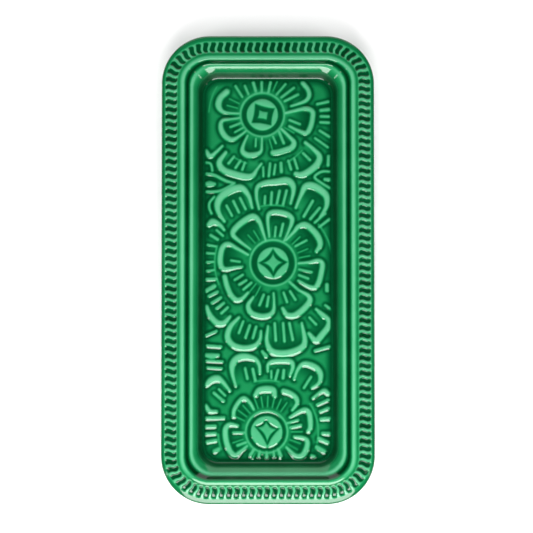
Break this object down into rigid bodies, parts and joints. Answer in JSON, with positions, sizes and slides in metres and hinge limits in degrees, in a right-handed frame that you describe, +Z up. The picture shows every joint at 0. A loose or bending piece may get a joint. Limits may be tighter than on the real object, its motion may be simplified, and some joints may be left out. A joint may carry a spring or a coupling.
{
  "type": "ceramic relief tray",
  "caption": "Long shallow glazed ceramic serving tray with a ribbed flange, a two-step well and a raised flower pattern on its floor.",
  "frame": {"origin": "bottom centre of the bounding box, on the surface the foot ring stands on", "axes": "+X across the tray, +Y along its length towards the end with the flower whose eye holds a square, +Z up out of the well"},
  "size_m": [0.1366, 0.3, 0.02],
  "materials": {
    "bisque_clay": "matte fired clay",
    "green_glaze": "glossy translucent glaze, pale on edges and deep green in hollows"
  },
  "bodies": {
    "root": {"clay_body": "bisque_clay", "well_glaze": "green_glaze", "outer_glaze": "green_glaze", "base_glaze": "green_glaze"}
  },
  "joints": []
}
